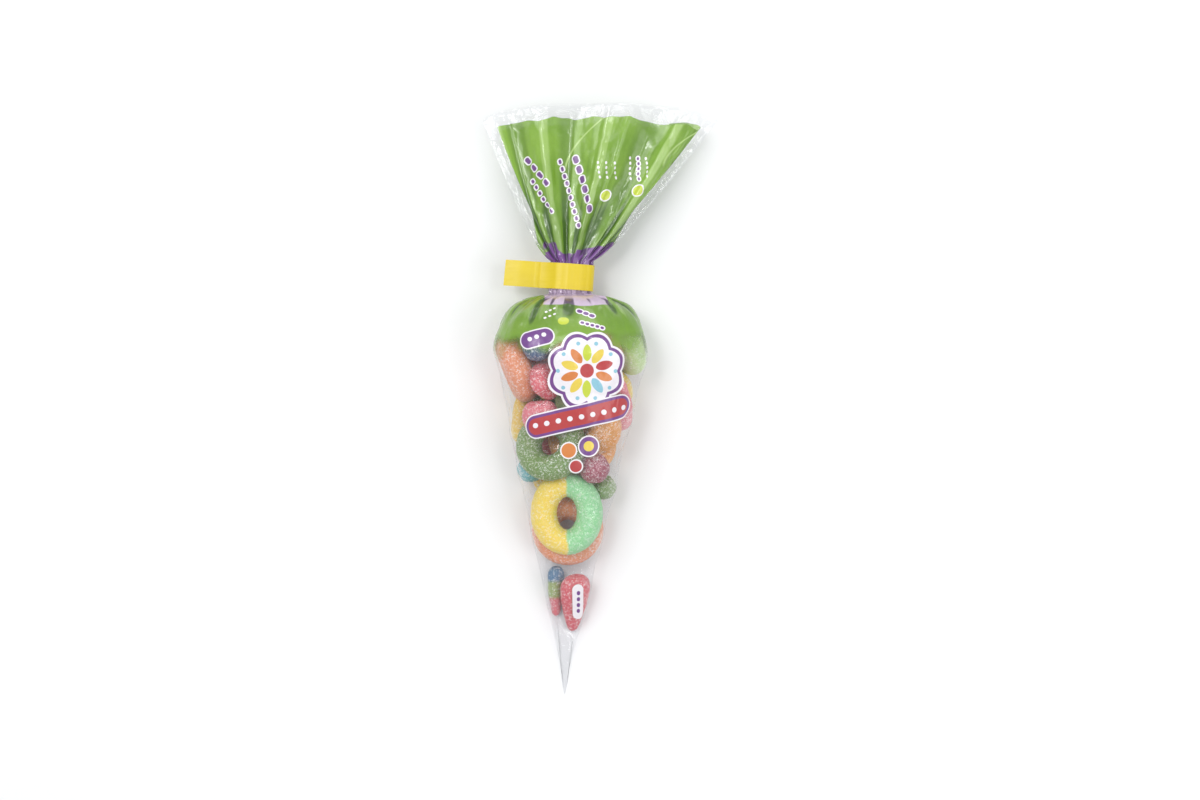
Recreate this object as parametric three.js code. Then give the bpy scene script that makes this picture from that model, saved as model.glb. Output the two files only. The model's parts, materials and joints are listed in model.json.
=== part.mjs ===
// A cone of sugared gummy sweets: a pointed clear film bag, gathered above its sweets and closed with a strip
// of tape whose two ends are stuck together as a flag.
// Millimetres. The bag lies on its back: +Z is up, +Y runs from the pointed tip to the open top, and +X is to
// the right. The origin is on the table, under the widest section.
import * as THREE from "three";
import { mergeVertices } from "three/addons/utils/BufferGeometryUtils.js";

// The bag
const FILM = 0.1; // wall of the film
const CONE_LENGTH = 172; // from the tip to the widest section
const BODY_WIDTH = 78;
const BODY_DEPTH = 56;
const TIP_WELD = 4; // the point, where both plies are welded together
const TIP_FLATNESS = 0.42; // depth over width at the empty tip
const CONE_FLATNESS = 0.88; // and half way up the cone, where the rings fill it out
const TIP_SHIFT = -3.5; // sideways, from the middle of the body
const CONE_BOW = 0.96; // 1 is a straight cone, and less bows its sides outwards
const SECTION_POWER = 2.4; // of the body's section: 2 is an ellipse, and more is squarer
const SAG = 2; // how far the underside would pass the table if the table didn't press it flat
const DOME_HEIGHT = 31.5; // from the widest section up to the gathered neck
const DOME_POWER = 2.4;

// The gathered neck and the flared top
const NECK_WIDTH = 20;
const NECK_DEPTH = 9;
const NECK_LENGTH = 16;
const NECK_HEIGHT = 25; // of its middle above the table
const NECK_LEAN = 4; // degrees to the right
const FLARE_LENGTH = 70.5; // from the neck to the side corners of the top edge
const FLARE_WIDTH = 118;
const FLARE_DEPTH = 22;
const FLARE_SPREAD = 0.8; // 1 widens evenly, and less widens soonest at the neck
const FLARE_SHIFT = 14; // how far the top leans to the right
const FLARE_HEIGHT = 19; // of the top edge's middle above the table
const FLARE_SHARPNESS = 0.6; // how pointed the side folds of the top are
const PLEATS = 10;
const PLEAT_SWAY = 0.9; // radians by which the pleats are uneven
const NECK_PLEAT = 0.9; // height of a pleat's crest at the neck
const FLARE_PLEAT = 3.4; // and at the top edge
const EDGE_RISE = 9; // of the top edge, from its side corners to its middle
const PLY_STEP = 1.5; // by which the front ply's edge stands below, and the back ply's above

// The tape
const TAPE = 0.15;
const TAPE_WIDTH = 13;
const TAPE_CLEARANCE = 0.35;
const FLAG_REACH = 33.5; // from the middle of the neck to the flag's end
const FLAG_ROOT = 15; // from the middle of the neck to where the two plies meet
const FLAG_WAVE = 0.7;

// The sweets
const SWEET_GAP = 0.4; // between one sweet and the next
const FILM_GAP = 0.45; // between a sweet and the film
const RING_WIDTH = 36.5;
const RING_TUBE = 13;
const BERRY_WIDTH = 15;
const BERRY_HEIGHT = 13;
const BEAD_DEPTH = 0.08; // of the grooves between its beads, as a share of its radius
const BOTTLE_LENGTH = 33;
const BOTTLE_WIDTH = 13;
const BOTTLE_DEPTH = 10;
const STRAWBERRY_LENGTH = 31;
const STRAWBERRY_WIDTH = 16;
const STRAWBERRY_DEPTH = 11;
const HEART_WIDTH = 20;
const HEART_DEPTH = 9;
const SLICE_WIDTH = 31;
const SLICE_DEPTH = 9;

// Facets
const AROUND = 60; // facets round the bag, six to a pleat
const CONE_STEPS = 7;
const DOME_STEPS = 6;
const NECK_STEPS = 2;
const FLARE_STEPS = 7;

// The main folds of the top, drawn into the neck: the angle that each lies at, its depth and its reach from the
// neck. 0 degrees is the right side, 90 the front and 270 the back.
const FOLD_WIDTH = 12; // degrees to each side of a fold
const TOP_FOLDS = [
  { at: 72, depth: 3.2, reach: 46 },
  { at: 126, depth: 2.6, reach: 46 },
  { at: 216, depth: 2.2, reach: 40 },
  { at: 252, depth: 2.6, reach: 44 },
  { at: 318, depth: 2.4, reach: 42 },
];

const colours = {
  film: 0xe9eef2,
  tape: 0xecd22e,
  yellow: 0xe9c94a,
  mint: 0x9fd6a4,
  peach: 0xe8a878,
  orange: 0xdd9a3c,
  green: 0x7d9b4e,
  pale_green: 0xc3d79a,
  teal: 0x5aa9b0,
  blue: 0x4a6b8e,
  raspberry: 0xa6506a,
  red: 0xd0606c,
  pink: 0xdf8f97,
  brown: 0xc08a64,
};

const { sin, cos, abs, sign, hypot, PI } = Math;
const mix = (a, b, t) => a + (b - a) * t;
const clamp01 = (t) => Math.min(1, Math.max(0, t));
const smooth = (t) => clamp01(t) ** 2 * (3 - 2 * clamp01(t));
const towards = (value, power) => sign(value) * abs(value) ** power;

const lean = Math.tan((NECK_LEAN * PI) / 180);
const neckLow = DOME_HEIGHT;
const neckHigh = DOME_HEIGHT + NECK_LENGTH;
const neckMiddle = neckLow + NECK_LENGTH / 2;
const top = neckHigh + FLARE_LENGTH;

// The bag's section at y: its middle, half width and half depth, how square it is and how deep its pleats are.
function sectionAt(y) {
  const bodyHeight = BODY_DEPTH / 2 - SAG;
  if (y <= 0) {
    const t = clamp01(1 + y / CONE_LENGTH);
    const spread = t ** CONE_BOW;
    const filled = mix(CONE_FLATNESS, BODY_DEPTH / BODY_WIDTH, smooth((t - 0.5) * 2));
    const flatness = mix(TIP_FLATNESS, filled, clamp01(t * 2.6));
    const halfWidth = (BODY_WIDTH / 2) * spread;
    const halfDepth = halfWidth * flatness;
    return {
      x: TIP_SHIFT * (1 - t),
      z: halfDepth - SAG * t,
      halfWidth,
      halfDepth,
      power: 2 / SECTION_POWER,
      lens: 0,
      pleat: 0,
    };
  }
  if (y <= neckLow) {
    const t = y / neckLow;
    const round = (1 - t ** DOME_POWER) ** (1 / DOME_POWER);
    return {
      x: smooth(t) * (neckLow - neckMiddle) * lean,
      z: mix(bodyHeight, NECK_HEIGHT, smooth(t)),
      halfWidth: mix(NECK_WIDTH / 2, BODY_WIDTH / 2, round),
      halfDepth: mix(NECK_DEPTH / 2, BODY_DEPTH / 2, round),
      power: mix(1, 2 / SECTION_POWER, round),
      lens: 0,
      pleat: NECK_PLEAT * smooth((t - 0.35) / 0.65),
    };
  }
  const t = Math.max(0, (y - neckHigh) / FLARE_LENGTH);
  const spread = t ** FLARE_SPREAD;
  return {
    x: (Math.min(y, neckHigh) - neckMiddle) * lean + FLARE_SHIFT * t,
    z: mix(NECK_HEIGHT, FLARE_HEIGHT, t),
    halfWidth: mix(NECK_WIDTH / 2, FLARE_WIDTH / 2, spread),
    halfDepth: mix(NECK_DEPTH / 2, FLARE_DEPTH / 2, spread),
    power: 1,
    lens: FLARE_SHARPNESS * smooth(t * 2),
    pleat: mix(NECK_PLEAT, FLARE_PLEAT, smooth(t * 1.4)),
  };
}

// How deep the main folds are there: valleys that are deepest near the neck.
function foldDepth(angle, y) {
  const away = y - neckHigh;
  if (away <= 0) return 0;
  return TOP_FOLDS.reduce((sum, fold) => {
    const turns = (angle * 180) / PI - fold.at + 540;
    const off = abs((turns % 360) - 180);
    const far = 1 - smooth((away / fold.reach - 0.4) / 0.6);
    return sum + fold.depth * smooth(away / 8) * far * Math.max(0, 1 - off / FOLD_WIDTH) ** 1.2;
  }, 0);
}

// A point on the middle of the film, at an angle round the bag and at the nominal station y.
function filmPoint(angle, y) {
  const s = sectionAt(y);
  const across = towards(cos(angle), s.power);
  const up = towards(sin(angle), s.power + s.lens);
  const outwards = new THREE.Vector2(cos(angle) / s.halfWidth, sin(angle) / s.halfDepth).normalize();
  const inTheFlare = clamp01((y - neckHigh) / FLARE_LENGTH);
  const wave = sin(PLEATS * angle + PLEAT_SWAY * sin(2 * angle + 0.5));
  const crest = s.pleat * wave * mix(1, abs(sin(angle)), smooth(inTheFlare * 3)) - foldDepth(angle, y);
  const rise = (EDGE_RISE - PLY_STEP * sign(sin(angle))) * abs(sin(angle)) * inTheFlare ** 2;
  return new THREE.Vector3(
    s.x + s.halfWidth * across + outwards.x * crest,
    y + rise,
    Math.max(FILM / 2, s.z + s.halfDepth * up + outwards.y * crest),
  );
}

// The film's outward normal there, from its neighbours.
function filmNormal(angle, y) {
  const step = 1e-3;
  const round = filmPoint(angle + step, y).sub(filmPoint(angle - step, y));
  const along = filmPoint(angle, y + step).sub(filmPoint(angle, y - step));
  return along.cross(round).normalize();
}

// A point of the outer skin (side 1) or the inner skin (side -1). What meets the table lies flat on it.
function skinPoint(angle, y, side) {
  const point = filmPoint(angle, y).addScaledVector(filmNormal(angle, y), (side * FILM) / 2);
  point.z = Math.max(point.z, side > 0 ? 0 : FILM);
  return point;
}

const range = (count) => Array.from({ length: count }, (_, i) => i);
const stations = [
  ...range(CONE_STEPS).map((i) => mix(-CONE_LENGTH + TIP_WELD, 0, (i / CONE_STEPS) ** 0.9)),
  ...range(DOME_STEPS).map((i) => neckLow * sin(((i / DOME_STEPS) * PI) / 2)),
  ...range(NECK_STEPS).map((i) => mix(neckLow, neckHigh, i / NECK_STEPS)),
  ...range(FLARE_STEPS + 1).map((i) => mix(neckHigh, top, (i / FLARE_STEPS) ** 1.25)),
];

// The bag is one skin that runs up its outside, over the top edge and down its inside.
function bag() {
  const points = [];
  const faces = [];
  const add = (point) => points.push(point) - 1;
  const ring = (y, side) => range(AROUND).map((i) => add(skinPoint((2 * PI * i) / AROUND, y, side)));
  const rings = [
    ...stations.map((y) => ring(y, 1)),
    ...stations.slice(1).reverse().map((y) => ring(y, -1)),
  ];
  const next = (i) => (i + 1) % AROUND;
  rings.slice(1).forEach((above, r) => {
    const below = rings[r];
    for (const i of range(AROUND)) {
      faces.push(below[i], above[next(i)], below[next(i)]);
      faces.push(below[i], above[i], above[next(i)]);
    }
  });
  const weldEnd = stations[0];
  const tip = add(new THREE.Vector3(sectionAt(-CONE_LENGTH).x, -CONE_LENGTH, FILM));
  const cavityEnd = add(new THREE.Vector3(sectionAt(weldEnd).x, weldEnd, sectionAt(weldEnd).z + FILM));
  for (const i of range(AROUND)) {
    faces.push(tip, rings[0][i], rings[0][next(i)]);
    faces.push(cavityEnd, rings.at(-1)[next(i)], rings.at(-1)[i]);
  }
  const geometry = new THREE.BufferGeometry().setFromPoints(points);
  geometry.setIndex(faces);
  return geometry;
}

// The strip goes once round the neck, and its two plies meet in a flag on the left.
function tape() {
  const inner = {
    x: NECK_WIDTH / 2 + NECK_PLEAT + TAPE_CLEARANCE,
    y: NECK_DEPTH / 2 + NECK_PLEAT + TAPE_CLEARANCE,
  };
  const outer = { x: inner.x + TAPE, y: inner.y + TAPE };
  // Where a straight ply from the flag's root touches the loop.
  const touch = (loop) => Math.acos(-loop.x / FLAG_ROOT);
  const flagSteps = 6;
  const flag = range(flagSteps + 1).map((i) => {
    const t = i / flagSteps;
    return new THREE.Vector2(-mix(FLAG_ROOT, FLAG_REACH, t), FLAG_WAVE * sin(1.5 * PI * t) * t);
  });
  const outline = new THREE.Shape();
  outline.absellipse(0, 0, outer.x, outer.y, -touch(outer), touch(outer), false);
  flag.forEach((point) => outline.lineTo(point.x, point.y + TAPE));
  flag.reverse().forEach((point) => outline.lineTo(point.x, point.y - TAPE));
  const hole = new THREE.Path();
  hole.absellipse(0, 0, inner.x, inner.y, -touch(inner), touch(inner), false);
  hole.lineTo(-FLAG_ROOT, 0);
  outline.holes.push(hole);
  const geometry = new THREE.ExtrudeGeometry(outline, {
    depth: TAPE_WIDTH,
    curveSegments: 14,
    bevelEnabled: false,
  });
  return geometry.translate(0, 0, -TAPE_WIDTH / 2).rotateX(PI / 2);
}

// Each kind of sweet has its form and the balls that fill it, which it is packed by.
const ball = (x, y, z, r) => ({ at: new THREE.Vector3(x, y, z), r });

function ring(length = RING_WIDTH) {
  const tube = RING_TUBE / 2;
  const path = (angle) =>
    new THREE.Vector3((RING_WIDTH / 2 - tube) * cos(angle), (length / 2 - tube) * sin(angle), 0);
  const corners = range(16).map((i) => path((2 * PI * i) / 16));
  return {
    geometry: new THREE.TubeGeometry(new THREE.CatmullRomCurve3(corners, true), 16, tube, 8, true),
    balls: corners.map(({ x, y }) => ball(x, y, 0, tube)),
  };
}

// A round berry of rows of beads, with a flat base.
function berry(width = BERRY_WIDTH) {
  const radius = width / 2;
  const base = (BERRY_HEIGHT / BERRY_WIDTH) * width - radius;
  const geometry = new THREE.SphereGeometry(radius, 12, 7).rotateX(PI / 2);
  const point = new THREE.Vector3();
  const places = geometry.attributes.position;
  for (const i of range(places.count)) {
    point.fromBufferAttribute(places, i);
    const round = hypot(point.x, point.y) / radius;
    point.multiplyScalar(1 - BEAD_DEPTH * round * (0.5 - 0.5 * cos(6 * Math.atan2(point.y, point.x))));
    point.z = Math.max(point.z, -base);
    places.setXYZ(i, point.x, point.y, point.z);
  }
  return { geometry, balls: [ball(0, 0, 0, radius)] };
}

// A turned piece, moulded flatter than it is wide. Its profile runs from its base to its end, as shares of its half
// width and of its half length.
function flattened(profile, length, width, depth) {
  const steps = profile.map(([across, along]) => new THREE.Vector2((across * width) / 2, (along * length) / 2));
  return new THREE.LatheGeometry(steps, 10).scale(1, 1, depth / width);
}

// A little drinks bottle.
function bottle(length = BOTTLE_LENGTH) {
  const scale = length / BOTTLE_LENGTH;
  const body = (BOTTLE_WIDTH / 2) * scale;
  const flat = (BOTTLE_DEPTH / 2) * scale;
  const end = length / 2;
  const profile = [
    [0, -1],
    [0.55, -0.98],
    [0.9, -0.84],
    [1, -0.64],
    [0.94, -0.3],
    [1, 0.02],
    [0.55, 0.6],
    [0.5, 0.82],
    [0.3, 0.97],
    [0, 1],
  ];
  const side = body - flat;
  const pairs = [-0.68, -0.4, -0.14, 0.05].flatMap((t) => [-side, side].map((x) => ball(x, end * t, 0, flat)));
  const taper = [
    [0.2, 0.85],
    [0.38, 0.72],
    [0.56, 0.6],
    [0.78, 0.5],
  ].map(([t, share]) => ball(0, end * t, 0, body * share));
  return { geometry: flattened(profile, length, body * 2, flat * 2), balls: [...pairs, ...taper] };
}

// A strawberry, broad at its top and tapering to its tip.
function strawberry() {
  const half = STRAWBERRY_WIDTH / 2;
  const flat = STRAWBERRY_DEPTH / 2;
  const end = STRAWBERRY_LENGTH / 2;
  const profile = [
    [0, -1],
    [0.6, -0.96],
    [0.95, -0.78],
    [1, -0.5],
    [0.86, -0.05],
    [0.62, 0.4],
    [0.44, 0.7],
    [0.26, 0.93],
    [0, 1],
  ];
  const side = half - flat;
  const pairs = [
    [-0.6, 1],
    [-0.35, 0.9],
    [-0.1, 0.3],
  ].flatMap(([t, share]) => [-side, side].map((x) => ball(x * share, end * t, 0, flat)));
  const taper = [
    [0.1, 0.78],
    [0.32, 0.64],
    [0.52, 0.52],
    [0.72, 0.42],
  ].map(([t, share]) => ball(0, end * t, 0, half * share));
  return {
    geometry: flattened(profile, STRAWBERRY_LENGTH, STRAWBERRY_WIDTH, STRAWBERRY_DEPTH),
    balls: [...pairs, ...taper],
  };
}

// A moulded piece: its outline repeated at heights, each time drawn in, and closed with a point at both faces.
function moulded(outline, depth, levels) {
  const points = [];
  const faces = [];
  const count = outline.length;
  levels.forEach(([height, size]) =>
    outline.forEach(([x, y]) => points.push(new THREE.Vector3(x * size, y * size, (height * depth) / 2))),
  );
  levels.slice(1).forEach((_, level) => {
    for (const i of range(count)) {
      const here = level * count + i;
      const next = level * count + ((i + 1) % count);
      faces.push(here, next, next + count, here, next + count, here + count);
    }
  });
  const base = points.push(new THREE.Vector3(0, 0, -depth / 2)) - 1;
  const crown = points.push(new THREE.Vector3(0, 0, depth / 2)) - 1;
  const last = (levels.length - 1) * count;
  for (const i of range(count)) {
    faces.push(base, (i + 1) % count, i);
    faces.push(crown, last + i, last + ((i + 1) % count));
  }
  const geometry = new THREE.BufferGeometry().setFromPoints(points);
  geometry.setIndex(faces);
  return geometry;
}

// A heart with a flat back and a rounded front.
function heart() {
  const half = HEART_WIDTH / 2;
  const outline = range(16).map((i) => {
    const angle = (2 * PI * (i + 0.5)) / 16;
    const dip = 0.32 * Math.max(0, sin(angle)) ** 3 * Math.max(0, 1 - abs(cos(angle)) * 2.2);
    const point = 0.16 * Math.max(0, -sin(angle)) ** 6;
    const reach = half * (0.93 + 0.12 * sin(angle) - dip + point);
    return [reach * cos(angle), reach * sin(angle)];
  });
  const levels = [
    [-1, 0.84],
    [-0.7, 1],
    [0.1, 0.96],
    [0.75, 0.66],
  ];
  const r = HEART_DEPTH / 2;
  return {
    geometry: moulded(outline, HEART_DEPTH, levels),
    balls: [
      ball(0, half * 0.1, 0, r),
      ...[20, 50, 130, 160].map((angle) => {
        const way = (angle * PI) / 180;
        return ball(half * 0.53 * cos(way), half * 0.53 * sin(way), 0, r);
      }),
      ball(half * 0.42, -half * 0.12, 0, r),
      ball(-half * 0.42, -half * 0.12, 0, r),
      ball(0, -half * 0.48, 0, r),
    ],
  };
}

// Half of a citrus slice.
function slice() {
  const radius = SLICE_WIDTH / 2;
  const r = SLICE_DEPTH / 2;
  const middle = radius * 0.42;
  const arc = range(11).map((i) => [radius * cos((PI * i) / 10), radius * sin((PI * i) / 10) - middle]);
  const chord = [-0.5, 0, 0.5].map((t) => [radius * t, -middle]);
  const levels = [
    [-1, 0.84],
    [-0.6, 1],
    [0.6, 1],
    [1, 0.84],
  ];
  const reach = radius - r;
  const row = [-1, -0.6, -0.2, 0.2, 0.6, 1].map((t) => ball(reach * t, r * 0.9 - middle, 0, r));
  const rind = [0.25, 0.4, 0.6, 0.75].map((t) => ball(reach * cos(PI * t), reach * sin(PI * t) - middle, 0, r));
  return { geometry: moulded([...arc, ...chord], SLICE_DEPTH, levels), balls: [...row, ...rind] };
}

const kinds = { ring, berry, bottle, strawberry, heart, slice };

// Where each sweet lies: across and along the bag, against the front film (1), the back film (-1) or between
// them (0), turned in the plane of the table and tilted about its own length, in degrees.
const SWEETS = [
  // seen through the clear front, from the tip upwards
  { name: "strawberry_tip", kind: "strawberry", colour: "red", at: [4, -127], side: 1, turn: 168, tilt: 0 },
  { name: "bottle_low", kind: "bottle", colour: "blue", at: [-6, -119], side: -1, turn: 176, tilt: 80, size: 25 },
  { name: "ring_two_colour", kind: "ring", colour: "mint", at: [-2, -85.5], side: 1, turn: 0, tilt: 0, size: 43 },
  { name: "ring_peach", kind: "ring", colour: "peach", at: [5, -92], side: -1, turn: 0, tilt: 0 },
  { name: "berry_green", kind: "berry", colour: "green", at: [17, -70], side: 0, turn: 0, tilt: 0, size: 12 },
  { name: "berry_raspberry", kind: "berry", colour: "raspberry", at: [9, -62], side: 1, turn: 0, tilt: 0 },
  { name: "ring_green", kind: "ring", colour: "green", at: [-11, -52], side: 1, turn: 10, tilt: 0 },
  { name: "berry_teal", kind: "berry", colour: "teal", at: [-22, -50], side: 0, turn: 0, tilt: 0, size: 13 },
  { name: "slice_orange", kind: "slice", colour: "orange", at: [18, -45], side: 1, turn: -80, tilt: 0 },
  { name: "heart_pink", kind: "heart", colour: "pink", at: [-18, -34], side: 1, turn: 15, tilt: 0 },
  { name: "bottle_yellow", kind: "bottle", colour: "yellow", at: [-27, -26], side: 0, turn: 10, tilt: 60 },
  { name: "bottle_pink", kind: "bottle", colour: "pink", at: [28, -24], side: 0, turn: -12, tilt: 60 },
  { name: "berry_orange", kind: "berry", colour: "orange", at: [6, -27], side: 1, turn: 0, tilt: 0 },
  { name: "heart_red", kind: "heart", colour: "red", at: [-11, -11], side: 1, turn: 160, tilt: 0 },
  { name: "ring_peach_high", kind: "ring", colour: "peach", at: [-31, -4], side: 0, turn: 6, tilt: 80 },
  { name: "berry_blue", kind: "berry", colour: "blue", at: [-18, -2], side: 1, turn: 0, tilt: 0 },
  { name: "ring_pink", kind: "ring", colour: "pink", at: [8, -3], side: 1, turn: 0, tilt: 0 },
  { name: "ring_pale", kind: "ring", colour: "pale_green", at: [31, 4], side: 0, turn: -4, tilt: 80 },
  { name: "strawberry_top", kind: "strawberry", colour: "red", at: [-10, 19], side: 1, turn: 80, tilt: 0 },
  // within, and against the back, which lies on the table
  { name: "heart_yellow", kind: "heart", colour: "yellow", at: [-6, -66], side: -1, turn: 30, tilt: 0 },
  { name: "ring_orange", kind: "ring", colour: "orange", at: [6, -46], side: -1, turn: 0, tilt: 0 },
  { name: "berry_pink", kind: "berry", colour: "pink", at: [-16, -50], side: -1, turn: 0, tilt: 180 },
  { name: "bottle_green", kind: "bottle", colour: "green", at: [-14, -24], side: -1, turn: 25, tilt: 0 },
  { name: "slice_red", kind: "slice", colour: "red", at: [22, 6], side: -1, turn: 80, tilt: 0 },
  { name: "berry_purple", kind: "berry", colour: "raspberry", at: [26, -12], side: -1, turn: 0, tilt: 180 },
  { name: "ring_red", kind: "ring", colour: "red", at: [-12, 2], side: -1, turn: 0, tilt: 0 },
  { name: "bottle_orange", kind: "bottle", colour: "orange", at: [12, 12], side: -1, turn: 70, tilt: 0 },
  { name: "berry_teal_high", kind: "berry", colour: "teal", at: [22, 14], side: 0, turn: 0, tilt: 180 },
  { name: "berry_pale", kind: "berry", colour: "pale_green", at: [-4, -34], side: 0, turn: 70, tilt: 30 },
  { name: "bottle_brown", kind: "bottle", colour: "brown", at: [4, 8], side: -1, turn: 80, tilt: 0 },
  { name: "ring_yellow", kind: "ring", colour: "yellow", at: [17, -22], side: -1, turn: 0, tilt: 0 },
  { name: "berry_red", kind: "berry", colour: "red", at: [-24, 16], side: 0, turn: 0, tilt: 0 },
  { name: "berry_lime", kind: "berry", colour: "green", at: [4, -70], side: -1, turn: 0, tilt: 180 },
  { name: "heart_orange", kind: "heart", colour: "orange", at: [-18, -14], side: 0, turn: 0, tilt: 60 },
];

// The inside of the film as small flat pieces, which keep the sweets in. Each is a point and the way inwards.
function insideOfTheFilm() {
  const pieces = [];
  const bands = stations.filter((y) => y <= neckLow);
  bands.slice(1).forEach((high, band) => {
    const low = bands[band];
    for (const i of range(AROUND)) {
      const corner = (side, y) => skinPoint((2 * PI * (i + side)) / AROUND, y, -1);
      const [a, b, c, d] = [corner(0, low), corner(1, low), corner(1, high), corner(0, high)];
      const inwards = c.clone().sub(a).cross(d.clone().sub(b)).normalize();
      const count = Math.ceil((high - low) / 4);
      for (const k of range(count)) {
        const t = (k + 0.5) / count;
        const left = a.clone().lerp(d, t);
        pieces.push({ at: left.lerp(b.clone().lerp(c, t), 0.5), inwards });
      }
    }
  });
  return pieces;
}

// Settles the sweets: each is drawn to its place and its side of the bag, and pushed clear of its neighbours and
// of the film, turning as it goes.
function settle(sweets) {
  const passes = 420;
  const pulled = 200; // the passes in which the sweets are still drawn to their places
  const shelfOf = (y) => Math.floor((y + 2 * CONE_LENGTH) / 8);
  const shelves = [];
  for (const wall of insideOfTheFilm()) (shelves[shelfOf(wall.at.y)] ??= []).push(wall);
  const push = new THREE.Vector3();
  const lever = new THREE.Vector3();
  const axis = new THREE.Vector3();
  const turned = new THREE.Quaternion();

  const placeBalls = (sweet) =>
    sweet.balls.forEach((b) => b.now.copy(b.at).applyQuaternion(sweet.turn).add(sweet.place));
  const freedom = (sweet, ballNow, way) =>
    1 + lever.copy(ballNow).sub(sweet.place).cross(way).lengthSq() / sweet.spread;
  const move = (sweet, ballNow, way, share) => {
    lever.copy(ballNow).sub(sweet.place).cross(way);
    sweet.place.addScaledVector(way, share);
    const angle = (lever.length() * share) / sweet.spread;
    if (abs(angle) > 1e-7) {
      sweet.turn.premultiply(turned.setFromAxisAngle(axis.copy(lever).normalize(), angle)).normalize();
    }
    placeBalls(sweet);
  };
  const nearestWall = (at) => {
    const shelf = shelfOf(at.y);
    let nearest = null;
    let least = Infinity;
    for (const wall of [shelf - 1, shelf, shelf + 1].flatMap((k) => shelves[k] ?? [])) {
      const away = wall.at.distanceToSquared(at);
      if (away < least) {
        least = away;
        nearest = wall;
      }
    }
    return nearest;
  };

  for (const sweet of sweets) {
    sweet.balls.forEach((b) => (b.now = new THREE.Vector3()));
    sweet.reach = Math.max(...sweet.balls.map((b) => b.at.length() + b.r));
    sweet.spread = sweet.balls.reduce((sum, b) => sum + b.at.lengthSq() + b.r ** 2 / 2, 0) / sweet.balls.length;
    placeBalls(sweet);
  }
  for (const pass of range(passes)) {
    const pull = Math.max(0, 1 - pass / pulled);
    for (const sweet of sweets) {
      sweet.place.x += (sweet.home.x - sweet.place.x) * sweet.hold * pull;
      sweet.place.y += (sweet.home.y - sweet.place.y) * sweet.hold * pull;
      sweet.place.z += sweet.side * 0.5 * pull;
      placeBalls(sweet);
    }
    sweets.forEach((one, i) => {
      for (const other of sweets.slice(i + 1)) {
        if (one.place.distanceTo(other.place) > one.reach + other.reach + SWEET_GAP) continue;
        for (const a of one.balls) {
          if (a.now.distanceTo(other.place) > a.r + other.reach + SWEET_GAP) continue;
          for (const b of other.balls) {
            push.copy(a.now).sub(b.now);
            const depth = a.r + b.r + SWEET_GAP - push.length();
            if (depth <= 0) continue;
            push.normalize();
            const share = depth / (freedom(one, a.now, push) + freedom(other, b.now, push));
            move(one, a.now, push, share);
            move(other, b.now, push, -share);
          }
        }
      }
    });
    for (const sweet of sweets) {
      for (const b of sweet.balls) {
        const wall = nearestWall(b.now);
        const room = push.copy(b.now).sub(wall.at).dot(wall.inwards);
        const depth = b.r + FILM_GAP - room;
        if (depth > 0) move(sweet, b.now, wall.inwards, depth / freedom(sweet, b.now, wall.inwards));
      }
    }
  }
}

function packedSweets() {
  const degrees = PI / 180;
  const sweets = SWEETS.map(({ name, kind, colour, at, side, turn, tilt, size }) => {
    const { geometry, balls } = kinds[kind](size);
    geometry.deleteAttribute("uv");
    geometry.deleteAttribute("normal");
    const closed = mergeVertices(geometry, 1e-3);
    const corners = closed.attributes.position;
    const points = range(corners.count).map((i) => ({ at: new THREE.Vector3().fromBufferAttribute(corners, i), r: 0 }));
    const section = sectionAt(at[1]);
    const home = new THREE.Vector3(at[0], at[1], section.z + side * section.halfDepth * 0.5);
    return {
      name,
      colour,
      side,
      hold: side > 0 ? 0.16 : 0.06,
      geometry: closed,
      balls: [...balls, ...points],
      home,
      place: home.clone(),
      turn: new THREE.Quaternion().setFromEuler(new THREE.Euler(0, tilt * degrees, turn * degrees, "ZYX")),
    };
  });
  settle(sweets);
  return sweets;
}

const soft = (colour) => new THREE.MeshStandardMaterial({ color: colours[colour], roughness: 0.6, metalness: 0 });

function mesh(name, geometry, material) {
  const made = new THREE.Mesh(geometry, material);
  made.name = name;
  return made;
}

const candyCone = new THREE.Group();

const filmMaterial = new THREE.MeshStandardMaterial({
  color: colours.film,
  roughness: 0.1,
  metalness: 0,
  transparent: true,
  opacity: 0.35,
});
candyCone.add(mesh("cone_bag", bag(), filmMaterial));

const strip = mesh(
  "closing_tape",
  tape(),
  new THREE.MeshStandardMaterial({ color: colours.tape, roughness: 0.35, metalness: 0 }),
);
strip.position.set(0, neckMiddle, NECK_HEIGHT);
strip.rotation.z = THREE.MathUtils.degToRad(-NECK_LEAN);
candyCone.add(strip);

for (const sweet of packedSweets()) {
  const made = mesh(sweet.name, sweet.geometry, soft(sweet.colour));
  made.position.copy(sweet.place);
  made.quaternion.copy(sweet.turn);
  candyCone.add(made);
}

export default candyCone;
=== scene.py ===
"""A clear pointed bag of sugared gummy sweets, lying on its back and dressed for its picture.

The bag's film is shaped by the same sections as its solid, with the creases, gathers and print that the
solid leaves out. Lengths below are in millimetres, and MM turns them into Blender's metres.
"""

import json
from math import acos, cos, pi, radians, sin, tan

import bpy
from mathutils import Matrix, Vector, noise
from mathutils.bvhtree import BVHTree


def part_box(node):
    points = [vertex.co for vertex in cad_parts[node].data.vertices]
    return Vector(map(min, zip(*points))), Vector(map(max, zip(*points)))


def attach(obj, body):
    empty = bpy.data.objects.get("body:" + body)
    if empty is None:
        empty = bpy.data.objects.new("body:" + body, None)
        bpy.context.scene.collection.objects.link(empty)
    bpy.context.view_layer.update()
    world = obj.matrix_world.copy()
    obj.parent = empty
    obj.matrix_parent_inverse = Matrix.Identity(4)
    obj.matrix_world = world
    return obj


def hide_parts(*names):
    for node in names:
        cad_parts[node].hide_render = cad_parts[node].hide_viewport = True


MM = 0.001

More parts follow.
